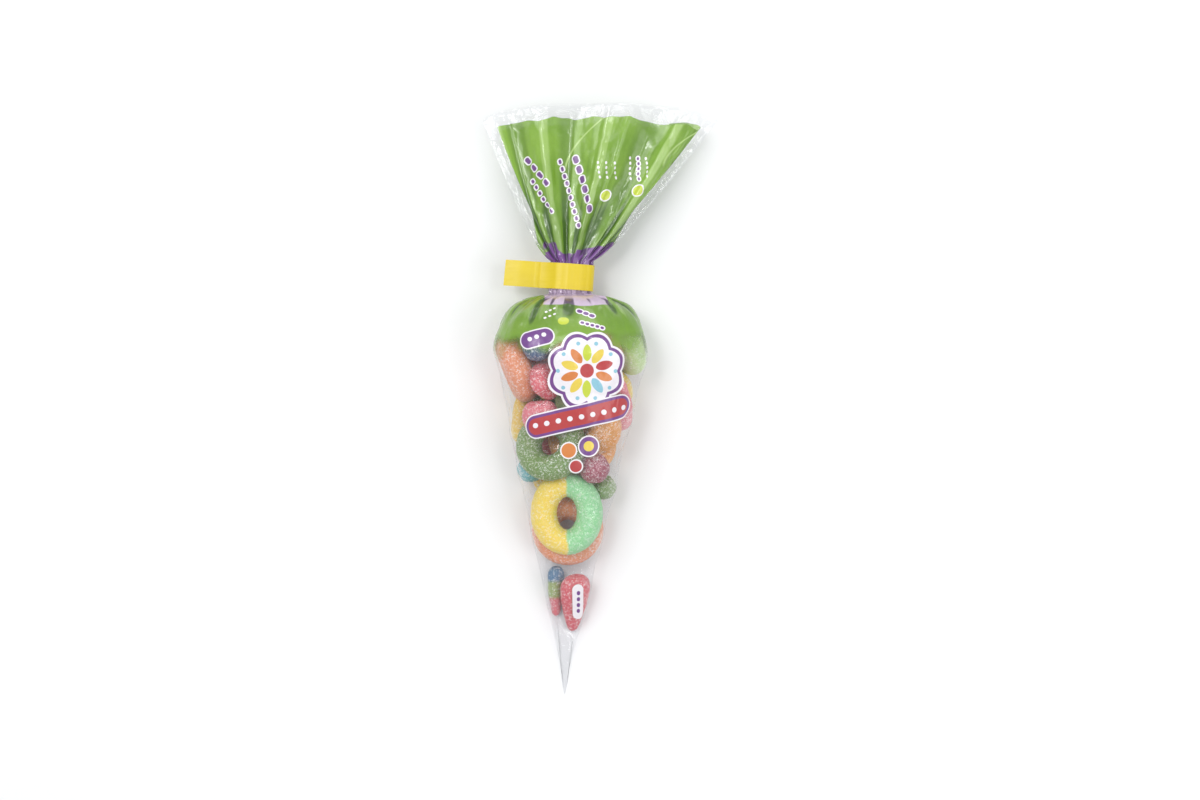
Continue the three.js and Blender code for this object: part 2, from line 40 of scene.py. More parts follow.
# The bag's sizes, as in its solid
FILM = 0.1
CONE_LENGTH = 172
BODY_WIDTH = 78
BODY_DEPTH = 56
TIP_FLATNESS = 0.42
CONE_FLATNESS = 0.88
TIP_SHIFT = -3.5
CONE_BOW = 0.96
SECTION_POWER = 2.4
SAG = 2
DOME_HEIGHT = 31.5
DOME_POWER = 2.4
NECK_WIDTH = 20
NECK_DEPTH = 9
NECK_LENGTH = 16
NECK_HEIGHT = 25
NECK_LEAN = 4
FLARE_LENGTH = 70.5
FLARE_WIDTH = 118
FLARE_DEPTH = 22
FLARE_SPREAD = 0.8
FLARE_SHIFT = 14
FLARE_HEIGHT = 19
FLARE_SHARPNESS = 0.6
PLEATS = 10
PLEAT_SWAY = 0.9
NECK_PLEAT = 0.9
FLARE_PLEAT = 3.4
EDGE_RISE = 9
PLY_STEP = 1.5
TAPE = 0.15
TAPE_WIDTH = 13
TAPE_CLEARANCE = 0.35
FLAG_REACH = 33.5
FLAG_ROOT = 15
FLAG_WAVE = 0.7

# The finer film, and the rows of points along each stretch of it
AROUND = 264
CONE_ROWS = 84
DOME_ROWS = 40
NECK_ROWS = 10
FLARE_ROWS = 50
GATHERS = 26  # small folds at the neck
SUNK = 1.3  # how far the film sinks between the sweets
CLEARANCE = 0.2  # between the film and the sweets
WELD = 8  # the length at the point where the film lies on itself

# Folds drawn into the neck, the first five of the top as in the solid: the angle each lies at, its depth,
# its reach from the neck and its width in degrees to each side. 0 degrees is the right side, 90 the front
# and 270 the back.
SHOULDER_FOLDS = (
    (120, 4.2, 21, 11),
    (90, 4.4, 16, 11),
    (48, 3.8, 14, 11),
    (222, 2.6, 15, 11),
    (258, 2.8, 17, 11),
    (324, 2.8, 16, 11),
    (150, 1.6, 20, 8),
    (106, 1.0, 10, 4),
    (71, 1.2, 12, 5),
    (22, 1.6, 17, 8),
)
TOP_FOLDS = (
    (72, 3.2, 46, 12),
    (126, 2.6, 46, 12),
    (216, 2.2, 40, 12),
    (252, 2.6, 44, 12),
    (318, 2.4, 42, 12),
    (104, 1.3, 30, 6),
    (90, 1.2, 22, 5),
    (144, 1.2, 34, 6),
    (50, 1.4, 30, 7),
    (30, 1.1, 26, 6),
)
PANEL_EDGES = (0, 33, 47, 76, 87, 103, 122, 143, 180, 214, 243, 262, 291, 322, 360)

LEAN = tan(radians(NECK_LEAN))
NECK_LOW = DOME_HEIGHT
NECK_HIGH = DOME_HEIGHT + NECK_LENGTH
NECK_MIDDLE = NECK_LOW + NECK_LENGTH / 2
TOP = NECK_HIGH + FLARE_LENGTH

# Unrolled, the film's print is laid out on a sheet of this size, and its UV map covers the sheet
SHEET = 480

# The sweets' coats
BEAD = 2.6  # the size of a berry's beads
GRAIN = 0.8  # the size of the sugar's clumps


def mix(a, b, t):
    return a + (b - a) * t


def clamp01(t):
    return min(1.0, max(0.0, t))


def smooth(t):
    t = clamp01(t)
    return t * t * (3 - 2 * t)


def towards(value, power):
    return abs(value) ** power * (1 if value >= 0 else -1)


def srgb(*colour):
    """A colour as the eye reads it off a screen, 0 to 255, made linear."""
    return tuple(c / 255 / 12.92 if c < 11 else ((c / 255 + 0.055) / 1.055) ** 2.4 for c in colour) + (1,)


# Shapes


def section_at(y):
    """The bag's section at y: its middle, half width, half depth, squareness, side sharpness and pleats."""
    if y <= 0:
        t = max(1e-5, clamp01(1 + y / CONE_LENGTH))
        half_width = BODY_WIDTH / 2 * t**CONE_BOW
        filled = mix(CONE_FLATNESS, BODY_DEPTH / BODY_WIDTH, smooth((t - 0.5) * 2))
        half_depth = half_width * mix(TIP_FLATNESS, filled, clamp01(t * 2.6))
        return TIP_SHIFT * (1 - t), half_depth - SAG * t, half_width, half_depth, 2 / SECTION_POWER, 0, 0
    if y <= NECK_LOW:
        t = y / NECK_LOW
        full = max(0, 1 - t**DOME_POWER) ** (1 / DOME_POWER)
        return (
            smooth(t) * (NECK_LOW - NECK_MIDDLE) * LEAN,
            mix(BODY_DEPTH / 2 - SAG, NECK_HEIGHT, smooth(t)),
            mix(NECK_WIDTH / 2, BODY_WIDTH / 2, full),
            mix(NECK_DEPTH / 2, BODY_DEPTH / 2, full),
            mix(1, 2 / SECTION_POWER, full),
            0,
            NECK_PLEAT * smooth((t - 0.35) / 0.65),
        )
    t = max(0, (y - NECK_HIGH) / FLARE_LENGTH)
    spread = t**FLARE_SPREAD
    return (
        (min(y, NECK_HIGH) - NECK_MIDDLE) * LEAN + FLARE_SHIFT * t,
        mix(NECK_HEIGHT, FLARE_HEIGHT, t),
        mix(NECK_WIDTH / 2, FLARE_WIDTH / 2, spread),
        mix(NECK_DEPTH / 2, FLARE_DEPTH / 2, spread),
        1,
        FLARE_SHARPNESS * smooth(t * 2),
        mix(NECK_PLEAT, FLARE_PLEAT, smooth(t * 1.4)),
    )


def fold(turns):
    """A wave of narrow ridges and broad valleys, from -0.4 to 0.6, once a turn."""
    part = abs((turns % 1) * 2 - 1)
    return part**2.2 - 0.4


def valley(angle, at, width):
    """A sharp valley across the film at one angle: 1 at its bottom, 0 at its sides."""
    off = abs((angle - radians(at) + pi) % (2 * pi) - pi)
    return max(0, 1 - off / radians(width)) ** 1.4


def panel_rise(angle):
    """Flat panels that overlap: each rises from 0 to 1 and drops at once at the next edge."""
    degrees = angle * 180 / pi % 360
    for low, high in zip(PANEL_EDGES, PANEL_EDGES[1:]):
        if low <= degrees < high:
            share = (degrees - low) / (high - low)
            return min(share**1.3, (1 - share) * 14)
    return 0


def fold_depth(angle, y):
    """How deep the folds are there: sharp valleys that are deepest near the neck."""
    above = y > NECK_MIDDLE
    away = y - NECK_HIGH if above else NECK_LOW - y + 2
    depth = 0
    for at, most, reach, width in TOP_FOLDS if above else SHOULDER_FOLDS:
        if 0 < away < reach:
            fading = 1 - smooth((away / reach - 0.4) / 0.6)
            depth += most * smooth(away / 6) * fading * valley(angle, at, width)
    return depth


def film_place(angle, y):
    """A point on the film, in millimetres, with its gathers but without its small creases."""
    x, z, half_width, half_depth, power, lens, pleat = section_at(y)
    c, s = cos(angle), sin(angle)
    across = towards(c, power)
    up = towards(s, power + lens)
    out = Vector((c / half_width, s / half_depth)).normalized()
    flare = clamp01((y - NECK_HIGH) / FLARE_LENGTH)
    wave = sin(PLEATS * angle + PLEAT_SWAY * sin(2 * angle + 0.5))
    crest = pleat * wave * mix(1, abs(s), smooth(flare * 3))
    if y > 0:
        shoulder = smooth((y - NECK_LOW * 0.3) / (NECK_LOW * 0.7))
        in_neck = 1 - smooth(flare * 2)
        gather = fold(GATHERS * angle / (2 * pi) + 0.25 * sin(3 * angle))
        crest += shoulder * in_neck * 0.7 * gather
    crest -= fold_depth(angle, y)
    if y > NECK_HIGH:
        crest += 1.5 * smooth(flare * 4) * abs(s) * (panel_rise(angle) - 0.4)
    ply = PLY_STEP * (1 if s > 0 else -1 if s < 0 else 0)
    rise = (EDGE_RISE - ply) * abs(s) * flare**2
    height = z + half_depth * up + out.y * crest
    return Vector((x + half_width * across + out.x * crest, y + rise, max(FILM, height)))


def crease(place, y):
    """How far the film is creased inwards there: long sharp lines in the top, and faint dents below."""
    flare = smooth((y - NECK_HIGH) / 25)
    stiff = Vector((place.x * 0.07, place.y * 0.035, place.z * 0.09))
    line = 1 - min(1, 5 * abs(noise.noise(stiff + Vector((3.1, 0, 0)))))
    fine = 1 - min(1, 6 * abs(noise.noise(stiff * 2.7 + Vector((0, 7.7, 0)))))
    return mix(0.2, 0.6, flare) * line**2 + mix(0.12, 0.3, flare) * fine


def hollowness(row):
    """How far each point of a row lies below its neighbours to each side: 1 in a fold's valley."""
    found = []
    for i in range(len(row)):
        here, left, right = (row[(i + off) % AROUND] for off in (0, -4, 4))
        way = right - left
        wide = way.length
        if wide < 0.05:
            found.append(0.0)
            continue
        depth = ((left + right) / 2 - here).dot(Vector((-way.z, 0, way.x))) / wide
        # The curve of the bag itself would count as a ridge, and is taken away.
        found.append(max(-1, min(1, (depth + 0.012 * wide**2 / 4) / (0.1 * wide + 0.12))))
    return found


def deselect():
    """Leaves nothing selected."""
    for o in bpy.context.selected_objects:
        o.select_set(False)


def only(o):
    """Selects one object and makes it the active one."""
    deselect()
    o.select_set(True)
    bpy.context.view_layer.objects.active = o


def apply_all(o):
    """Turns an object's modifiers into its mesh."""
    only(o)
    for m in list(o.modifiers):
        bpy.ops.object.modifier_apply(modifier=m.name)


def grid(name, across, along):
    """A grid of faces with its UV map, ready to be rolled into its shape."""
    deselect()
    bpy.ops.mesh.primitive_grid_add(x_subdivisions=across, y_subdivisions=along, size=1, calc_uvs=True)
    made = bpy.context.object
    made.name = made.data.name = name
    return made


def merge_doubles(o, distance):
    """Joins points that lie within a distance of one another."""
    only(o)
    bpy.ops.object.mode_set(mode="EDIT")
    bpy.ops.mesh.select_all(action="SELECT")
    bpy.ops.mesh.remove_doubles(threshold=distance * MM)
    bpy.ops.object.mode_set(mode="OBJECT")


def sweets_tree(sweets):
    """The sweets' surfaces together, for finding what lies near the film."""
    points, faces = [], []
    for o in sweets:
        start = len(points)
        points += [v.co.copy() for v in o.data.vertices]
        faces += [[start + i for i in p.vertices] for p in o.data.polygons]
    return BVHTree.FromPolygons(points, faces)


def film_stations():
    """The places along the bag where the film's rows of points lie."""
    cone = [mix(-CONE_LENGTH, 0, (j / CONE_ROWS) ** 0.95) for j in range(CONE_ROWS)]
    dome = [NECK_LOW * sin(j / DOME_ROWS * pi / 2) for j in range(DOME_ROWS)]
    neck = [mix(NECK_LOW, NECK_HIGH, j / NECK_ROWS) for j in range(NECK_ROWS)]
    flare = [mix(NECK_HIGH, TOP, j / FLARE_ROWS) for j in range(FLARE_ROWS + 1)]
    return cone + dome + neck + flare


def outward_ways(places):
    """The way outwards at each point, across both the way round and the way along."""
    ways = []
    for j, here in enumerate(places):
        below, above = places[max(0, j - 1)], places[min(len(places) - 1, j + 1)]
        row = []
        for i in range(AROUND + 1):
            left, right = here[(i - 1) % AROUND], here[(i + 1) % AROUND]
            way = (above[i] - below[i]).cross(left - right)
            row.append(way.normalized() if way.length > 1e-9 else Vector((0, -1, 0)))
        ways.append(row)
    return ways


def sunk_film(stations, places, tree):
    """How far the film sinks where no sweet holds it out, evened out over its neighbours."""
    sunk = [[0.0] * AROUND for _ in stations]
    for j, y in enumerate(stations):
        if y > NECK_LOW or y < -CONE_LENGTH + WELD:
            continue
        for i in range(AROUND):
            away = tree.find_nearest(places[j][i] * MM)[3] / MM
            sunk[j][i] = min(SUNK, 0.45 * max(0, away - 1))
    for _ in range(5):
        sunk = [
            [
                (row[i] * 2 + row[(i - 1) % AROUND] + row[(i + 1) % AROUND] + low[i] + high[i]) / 6
                for i in range(AROUND)
            ]
            for low, row, high in zip([sunk[0]] + sunk[:-1], sunk, sunk[1:] + [sunk[-1]])
        ]
    return sunk


def pushed_clear(place, out, tree):
    """The place, moved outwards until it is clear of the sweets."""
    for _ in range(3):
        nearest, normal, _, _ = tree.find_nearest(place * MM)
        gap = (place * MM - nearest).dot(normal) / MM
        if gap < CLEARANCE:
            place = place + out * (CLEARANCE - gap)
    return place


def film_rows(stations, smooth_places, sweets):
    """The film's points with their creases, drawn in between the sweets and clear of them."""
    tree = sweets_tree(sweets)
    outwards = outward_ways(smooth_places)
    sunk = sunk_film(stations, smooth_places, tree)
    rows = []
    for j, y in enumerate(stations):
        in_tape = smooth(1 - abs(y - NECK_MIDDLE) / (NECK_LENGTH * 0.7))
        near_tip = smooth((y + CONE_LENGTH) / 12)
        row = []
        for i in range(AROUND + 1):
            k = i % AROUND
            place = smooth_places[j][k]
            depth = (sunk[j][k] + crease(place, y)) * (1 - in_tape) * near_tip
            moved = place - outwards[j][k] * depth
            if -CONE_LENGTH + WELD < y < NECK_LOW:
                moved = pushed_clear(moved, outwards[j][k], tree)
            moved.z = max(moved.z, FILM * 0.55)
            row.append(moved)
        rows.append(row)
    return rows


def print_layout(rows, smooth_places):
    """The unrolled sheet: each point's way round from the front's middle, and each row's way up."""
    middle = AROUND // 2
    across, along = [], []
    length = 0.0
    for j, row in enumerate(rows):
        round_way = [0.0] * len(row)
        for i in range(middle + 1, len(row)):
            round_way[i] = round_way[i - 1] + (row[i] - row[i - 1]).length
        for i in range(middle - 1, -1, -1):
            round_way[i] = round_way[i + 1] - (row[i] - row[i + 1]).length
        if j:
            here, before = smooth_places[j], smooth_places[j - 1]
            steps = [(here[i] - before[i]).length for i in range(0, AROUND, 8)]
            length += sum(steps) / len(steps)
        across.append(round_way)
        along.append(length)
    return across, along


def rolled_film(sweets):
    """The film, rolled from a flat sheet, and two ways to find a place on that sheet."""
    stations = film_stations()
    columns = AROUND + 1
    angles = [pi / 2 - 2 * pi * (i / AROUND - 0.5) for i in range(columns)]
    smooth_places = [[film_place(a, y) for a in angles] for y in stations]
    rows = film_rows(stations, smooth_places, sweets)
    across, along = print_layout(rows, smooth_places)

    film = grid("bag_film", AROUND, len(stations) - 1)
    data = film.data
    for vertex, place in zip(data.vertices, (place for row in rows for place in row)):
        vertex.co = place * MM
    # How far each point lies in a fold's valley; the film's material paints shade in the valleys and a
    # highlight on the crests from it.
    hollow = data.attributes.new("hollow", "FLOAT", "POINT")
    hollow.data.foreach_set("value", [depth for row in smooth_places for depth in hollowness(row)])
    uv = data.uv_layers.active.data
    for loop in data.loops:
        j, i = divmod(loop.vertex_index, columns)
        uv[loop.index].uv = (0.5 + across[j][i] / SHEET, along[j] / SHEET)

    def on_sheet(x, y):
        """Where on the unrolled sheet a point of the front lies that is seen at x, y."""
        front = range(AROUND // 4, AROUND * 3 // 4)
        j, i = min(
            ((j, i) for j in range(len(rows)) for i in front),
            key=lambda at: (rows[at[0]][at[1]].x - x) ** 2 + (rows[at[0]][at[1]].y - y) ** 2,
        )
        return across[j][i], along[j]

    def along_sheet(y):
        """How far up the sheet a station lies."""
        j = max(1, next(j for j, station in enumerate(stations) if station >= y))
        share = (y - stations[j - 1]) / (stations[j] - stations[j - 1])
        return mix(along[j - 1], along[j], share)

    merge_doubles(film, 0.004)
    wall = film.modifiers.new("wall", "SOLIDIFY")
    wall.thickness = FILM * MM
    wall.offset = -1
    apply_all(film)
    bpy.ops.object.shade_smooth()
    return film, on_sheet, along_sheet


def ribbon_path():
    """The tape's way: along the flag's upper ply, round the neck, and back along the lower ply."""
    loop = (
        NECK_WIDTH / 2 + NECK_PLEAT + TAPE_CLEARANCE + TAPE / 2,
        NECK_DEPTH / 2 + NECK_PLEAT + TAPE_CLEARANCE + TAPE / 2,
    )
    touch = acos(-loop[0] / FLAG_ROOT)
    steps = 26
    flag = []
    for i in range(steps + 1):
        t = i / steps
        flag.append((-mix(FLAG_ROOT, FLAG_REACH, t), FLAG_WAVE * sin(1.5 * pi * t) * t))
    upper = [(x, z + TAPE / 2) for x, z in reversed(flag)]
    lower = [(x, z - TAPE / 2) for x, z in flag]
    turn = []
    for i in range(73):
        a = mix(touch, -touch, i / 72)
        # Pulled tight over the gathered film, the strip lies in flat facets.
        facet = abs((a * 5.2 / pi + 0.15) % 1 - 0.5) * 2
        dent = 0.5 * (facet - 0.25) * smooth(abs(sin(a)) * 1.5)
        turn.append(((loop[0] + 0.05) * cos(a), (loop[1] + max(-0.15, dent)) * sin(a)))
    return upper + turn + lower


def wound_tape():
    """The strip of tape, wound round the neck along its path and turned to the neck's lean."""
    path = ribbon_path()
    across = 14
    tape = grid("tape_strip", len(path) - 1, across)
    columns = len(path)
    turn = radians(-NECK_LEAN)
    for j in range(across + 1):
        width = (j / across - 0.5) * TAPE_WIDTH
        for i, (x, z) in enumerate(path):
            # Small creases run across the flag where it was pinched, and its end is cut a little aslant.
            pinch = 0.5 * max(0, 1 - abs(x + 16.5) / 0.9) - 0.3 * max(0, 1 - abs(x + 18.6) / 1.4)
            end = 0.35 * smooth((-x - 30) / 3.5) * (j / across)
            bow = 0.12 * noise.noise(Vector((x * 0.2, width * 0.25, 4.0)))
            here = Vector((x + end, width, z + (pinch + bow) * (1 if x < -14 else 0.4)))
            turned_x = here.x * cos(turn) - here.y * sin(turn)
            turned_y = here.x * sin(turn) + here.y * cos(turn)
            place = Vector((turned_x, NECK_MIDDLE + turned_y, NECK_HEIGHT + here.z))
            tape.data.vertices[j * columns + i].co = place * MM
    wall = tape.modifiers.new("wall", "SOLIDIFY")
    wall.thickness = TAPE * 0.9 * MM
    wall.offset = 0
    apply_all(tape)
    bpy.ops.object.shade_smooth_by_angle(angle=radians(40))
    return tape


def copied(node, name):
    """A copy of a solid with its loose triangles joined."""
    made = node.copy()
    made.data = node.data.copy()
    made.name = made.data.name = name
    made.modifiers.clear()
    made.data.materials.clear()
    bpy.context.scene.collection.objects.link(made)
    made.hide_render = made.hide_viewport = False
    made.parent = None
    merge_doubles(made, 0.001)
    return made


def texture(name, kind, size, **settings):
    """The texture of that name, made the first time that it is asked for."""
    made = bpy.data.textures.get(name)
    if made:
        return made
    made = bpy.data.textures.new(name, kind)
    made.noise_scale = size * MM
    for key, value in settings.items():
        setattr(made, key, value)
    return made


def roughened(sweet, name, pattern, strength, mid_level):
    """Moves a sweet's surface in and out by a pattern."""
    moved = sweet.modifiers.new(name, "DISPLACE")
    moved.texture = pattern
    moved.texture_coords = "GLOBAL"
    moved.strength = strength * MM
    moved.mid_level = mid_level


def moulded_sweet(node, swell, beads):
    """A sweet, rounded off from its solid, swollen back to its size and coated with grains of sugar."""
    sweet = copied(node, "sweet_" + node.name)
    rounded = sweet.modifiers.new("rounded", "SUBSURF")
    rounded.levels = rounded.render_levels = 3
    grown = sweet.modifiers.new("grown", "DISPLACE")
    grown.strength = swell * MM
    grown.mid_level = 0
    if beads:
        settings = {"distance_metric": "DISTANCE", "weight_1": -1, "noise_intensity": 1}
        roughened(sweet, "beads", texture("bead_cells", "VORONOI", BEAD, **settings), beads, 0)
    roughened(sweet, "sugar", texture("sugar_grains", "CLOUDS", GRAIN, noise_depth=1), 0.42, 0.5)
    apply_all(sweet)
    bpy.ops.object.shade_smooth()
    return sweet


# Materials


def shader(name):
    """A new material, and its node tree with nothing in it yet."""
    material = bpy.data.materials.new(name)
    material.use_nodes = True
    tree = material.node_tree
    for n in list(tree.nodes):
        tree.nodes.remove(n)
    return material, tree


def feed(tree, socket, value):
    """Links a socket to another, or sets it to a constant."""
    if isinstance(value, bpy.types.NodeSocket):
        tree.links.new(value, socket)
    else:
        socket.default_value = value


def put(tree, kind, inputs=None, **settings):
    """A node with its settings, and its inputs linked or set by name or by number."""
    made = tree.nodes.new(kind)
    for key, value in settings.items():
        setattr(made, key, value)
    for key, value in (inputs or {}).items():
        feed(tree, made.inputs[key], value)
    return made


def maths(tree, operation, a, b=0.0, clamp=False):
    """The outcome of a sum with one or two numbers."""
    return put(tree, "ShaderNodeMath", {0: a, 1: b}, operation=operation, use_clamp=clamp).outputs[0]


def plus(tree, a, b, clamp=False):
    return maths(tree, "ADD", a, b, clamp)


def minus(tree, a, b, clamp=False):
    return maths(tree, "SUBTRACT", a, b, clamp)


def times(tree, a, b, clamp=False):
    return maths(tree, "MULTIPLY", a, b, clamp)


def either(tree, a, b):
    return maths(tree, "MAXIMUM", a, b)


def absolute(tree, value):
    return maths(tree, "ABSOLUTE", value)


def vector_maths(tree, operation, a, b=(0, 0, 0)):
    """The outputs of a sum with vectors."""
    return put(tree, "ShaderNodeVectorMath", {0: a, 1: b}, operation=operation).outputs


def step(tree, value, low, high):
    """0 at low, 1 at high, and smooth in between."""
    values = {0: value, 1: low, 2: high, 3: 0.0, 4: 1.0}
    return put(tree, "ShaderNodeMapRange", values, interpolation_type="SMOOTHSTEP").outputs[0]


def between(tree, value, low, full_from, full_to, high):
    """1 over a stretch, fading to 0 at each side of it."""
    return times(tree, step(tree, value, low, full_from), step(tree, value, high, full_to))


def crisp(tree, edge):
    """A mask that is 1 where edge is above 0, with a narrow soft border."""
    return plus(tree, times(tree, edge, 6), 0.5, clamp=True)


def noisy(tree, where, scale, detail=2.0, distortion=0.0):
    """Soft noise from 0 to 1. The scale is in patches to a unit of where."""
    values = {"Vector": where, "Scale": scale, "Detail": detail, "Distortion": distortion}
    return put(tree, "ShaderNodeTexNoise", values).outputs[0]


def bumped(tree, height, strength, distance):
    """A normal that is tilted by a height."""
    values = {"Strength": strength, "Distance": distance, "Height": height}
    return put(tree, "ShaderNodeBump", values).outputs[0]


def blend(tree, factor, under, over):
    """One colour over another."""
    made = put(tree, "ShaderNodeMix", {0: factor}, data_type="RGBA")
    feed(tree, made.inputs[6], under)
    feed(tree, made.inputs[7], over)
    return made.outputs[2]


def mixed(tree, factor, first, second):
    """Two shaders mixed, for the material itself."""
    return put(tree, "ShaderNodeMixShader", {0: factor, 1: first, 2: second}).outputs[0]


def new_group(name, inputs, outputs):
    """An empty node group, the sockets that bring its inputs and those that take its outputs."""
    group = bpy.data.node_groups.new(name, "ShaderNodeTree")
    for label, kind, value in inputs:
        socket = group.interface.new_socket(label, in_out="INPUT", socket_type=kind)
        if value is not None:
            socket.default_value = value
    for label, kind in outputs:
        group.interface.new_socket(label, in_out="OUTPUT", socket_type=kind)
    start = group.nodes.new("NodeGroupInput")
    end = group.nodes.new("NodeGroupOutput")
    return group, start.outputs, end.inputs


def use(tree, group, inputs):
    """Places a group with its own values, and gives its outputs."""
    made = put(tree, "ShaderNodeGroup", node_tree=group)
    for key, value in inputs.items():
        feed(tree, made.inputs[key], value)
    return made.outputs


def stroke_group():
    """A stroke of ink with round ends between two points of the sheet, or dashes along it."""
    group, given, result = new_group(
        "ink stroke",
        [
            ("Sheet", "NodeSocketVector", None),
            ("Start", "NodeSocketVector", (0, 0, 0)),
            ("End", "NodeSocketVector", (1, 0, 0)),
            ("Half width", "NodeSocketFloat", 1.0),
            ("Dashes", "NodeSocketFloat", 1.0),
            ("Dash share", "NodeSocketFloat", 1.0),
        ],
        [("Mask", "NodeSocketFloat"), ("Outer", "NodeSocketFloat")],
    )
    t = group
    way = vector_maths(t, "SUBTRACT", given["End"], given["Start"])[0]
    from_start = vector_maths(t, "SUBTRACT", given["Sheet"], given["Start"])[0]
    dot = vector_maths(t, "DOT_PRODUCT", from_start, way)["Value"]
    square = vector_maths(t, "DOT_PRODUCT", way, way)["Value"]
    share = maths(t, "DIVIDE", dot, square, clamp=True)
    # Each dash is a shorter stroke in its own stretch.
    turns = times(t, share, given["Dashes"])
    count = maths(t, "MINIMUM", maths(t, "FLOOR", turns), minus(t, given["Dashes"], 1))
    inside = minus(t, turns, count)
    half = times(t, given["Dash share"], 0.5)
    held = maths(t, "MINIMUM", either(t, inside, minus(t, 0.5, half)), plus(t, 0.5, half))
    nearest = maths(t, "DIVIDE", plus(t, count, held), given["Dashes"])
    along = put(t, "ShaderNodeVectorMath", {0: way, "Scale": nearest}, operation="SCALE").outputs[0]
    edge = minus(t, given["Half width"], vector_maths(t, "DISTANCE", from_start, along)["Value"])
    t.links.new(crisp(t, edge), result["Mask"])
    t.links.new(crisp(t, plus(t, edge, 0.7)), result["Outer"])
    return group


def rosette_group():
    """A round badge with a scalloped rim and petals, as masks."""
    group, given, result = new_group(
        "rosette",
        [
            ("Sheet", "NodeSocketVector", None),
            ("Middle", "NodeSocketVector", (0, 0, 0)),
            ("Radius", "NodeSocketFloat", 20.0),
        ],
        [
            ("Border", "NodeSocketFloat"),
            ("Outline", "NodeSocketFloat"),
            ("Field", "NodeSocketFloat"),
            ("Petals", "NodeSocketFloat"),
            ("Sector", "NodeSocketFloat"),
            ("Eye", "NodeSocketFloat"),
            ("Beads", "NodeSocketFloat"),
        ],
    )
    t = group
    from_middle = vector_maths(t, "SUBTRACT", given["Sheet"], given["Middle"])[0]
    split = put(t, "ShaderNodeSeparateXYZ", {0: from_middle}).outputs
    away = vector_maths(t, "LENGTH", from_middle)["Value"]
    angle = maths(t, "ARCTAN2", split[1], split[0])
    scallop = absolute(t, maths(t, "SINE", times(t, angle, 4)))
    edge = minus(t, plus(t, given["Radius"], times(t, scallop, 2.6)), away)
    t.links.new(crisp(t, edge), result["Border"])
    t.links.new(crisp(t, minus(t, edge, 1.2)), result["Outline"])
    t.links.new(crisp(t, minus(t, edge, 3.0)), result["Field"])

    # Ten petals, each widest halfway out.
    turns = times(t, angle, 5 / pi)
    sector = maths(t, "FLOOR", turns)
    side = absolute(t, minus(t, minus(t, turns, sector), 0.5))
    arc = times(t, away, pi / 5)
    long_way = maths(t, "DIVIDE", minus(t, away, 4.6), minus(t, given["Radius"], 9.2))
    room = times(t, times(t, long_way, minus(t, 1, long_way)), 4)
    width = times(t, maths(t, "POWER", either(t, room, 0), 0.6), 2.3)
    t.links.new(crisp(t, minus(t, width, plus(t, times(t, side, arc), 0.1))), result["Petals"])
    t.links.new(sector, result["Sector"])
    t.links.new(crisp(t, minus(t, 3.4, away)), result["Eye"])

    # A bead between each two petals.
    bead_way = absolute(t, minus(t, away, minus(t, given["Radius"], 3.6)))
    bead_side = times(t, minus(t, 0.5, side), arc)
    bead = maths(t, "SQRT", plus(t, maths(t, "POWER", bead_way, 2), maths(t, "POWER", bead_side, 2)))
    t.links.new(crisp(t, minus(t, 1.0, bead)), result["Beads"])
    return group


PURPLE = srgb(112, 62, 136)
LILAC = srgb(206, 186, 210)
LEAF = srgb(114, 156, 36)
PALE_LEAF = srgb(132, 172, 56)
# Colours of painted shade in the print's folds, and of a painted highlight on its crests and fold edges
SHADED_LEAF = srgb(52, 88, 16)
SHADED_PURPLE = srgb(58, 34, 72)
HIGHLIT_LEAF = srgb(192, 220, 140)
WHITE = srgb(240, 236, 240)
LIME = srgb(198, 212, 60)
ORANGE = srgb(214, 128, 60)
SUN = srgb(232, 206, 80)
SKY = srgb(140, 196, 214)
RED = srgb(184, 58, 60)

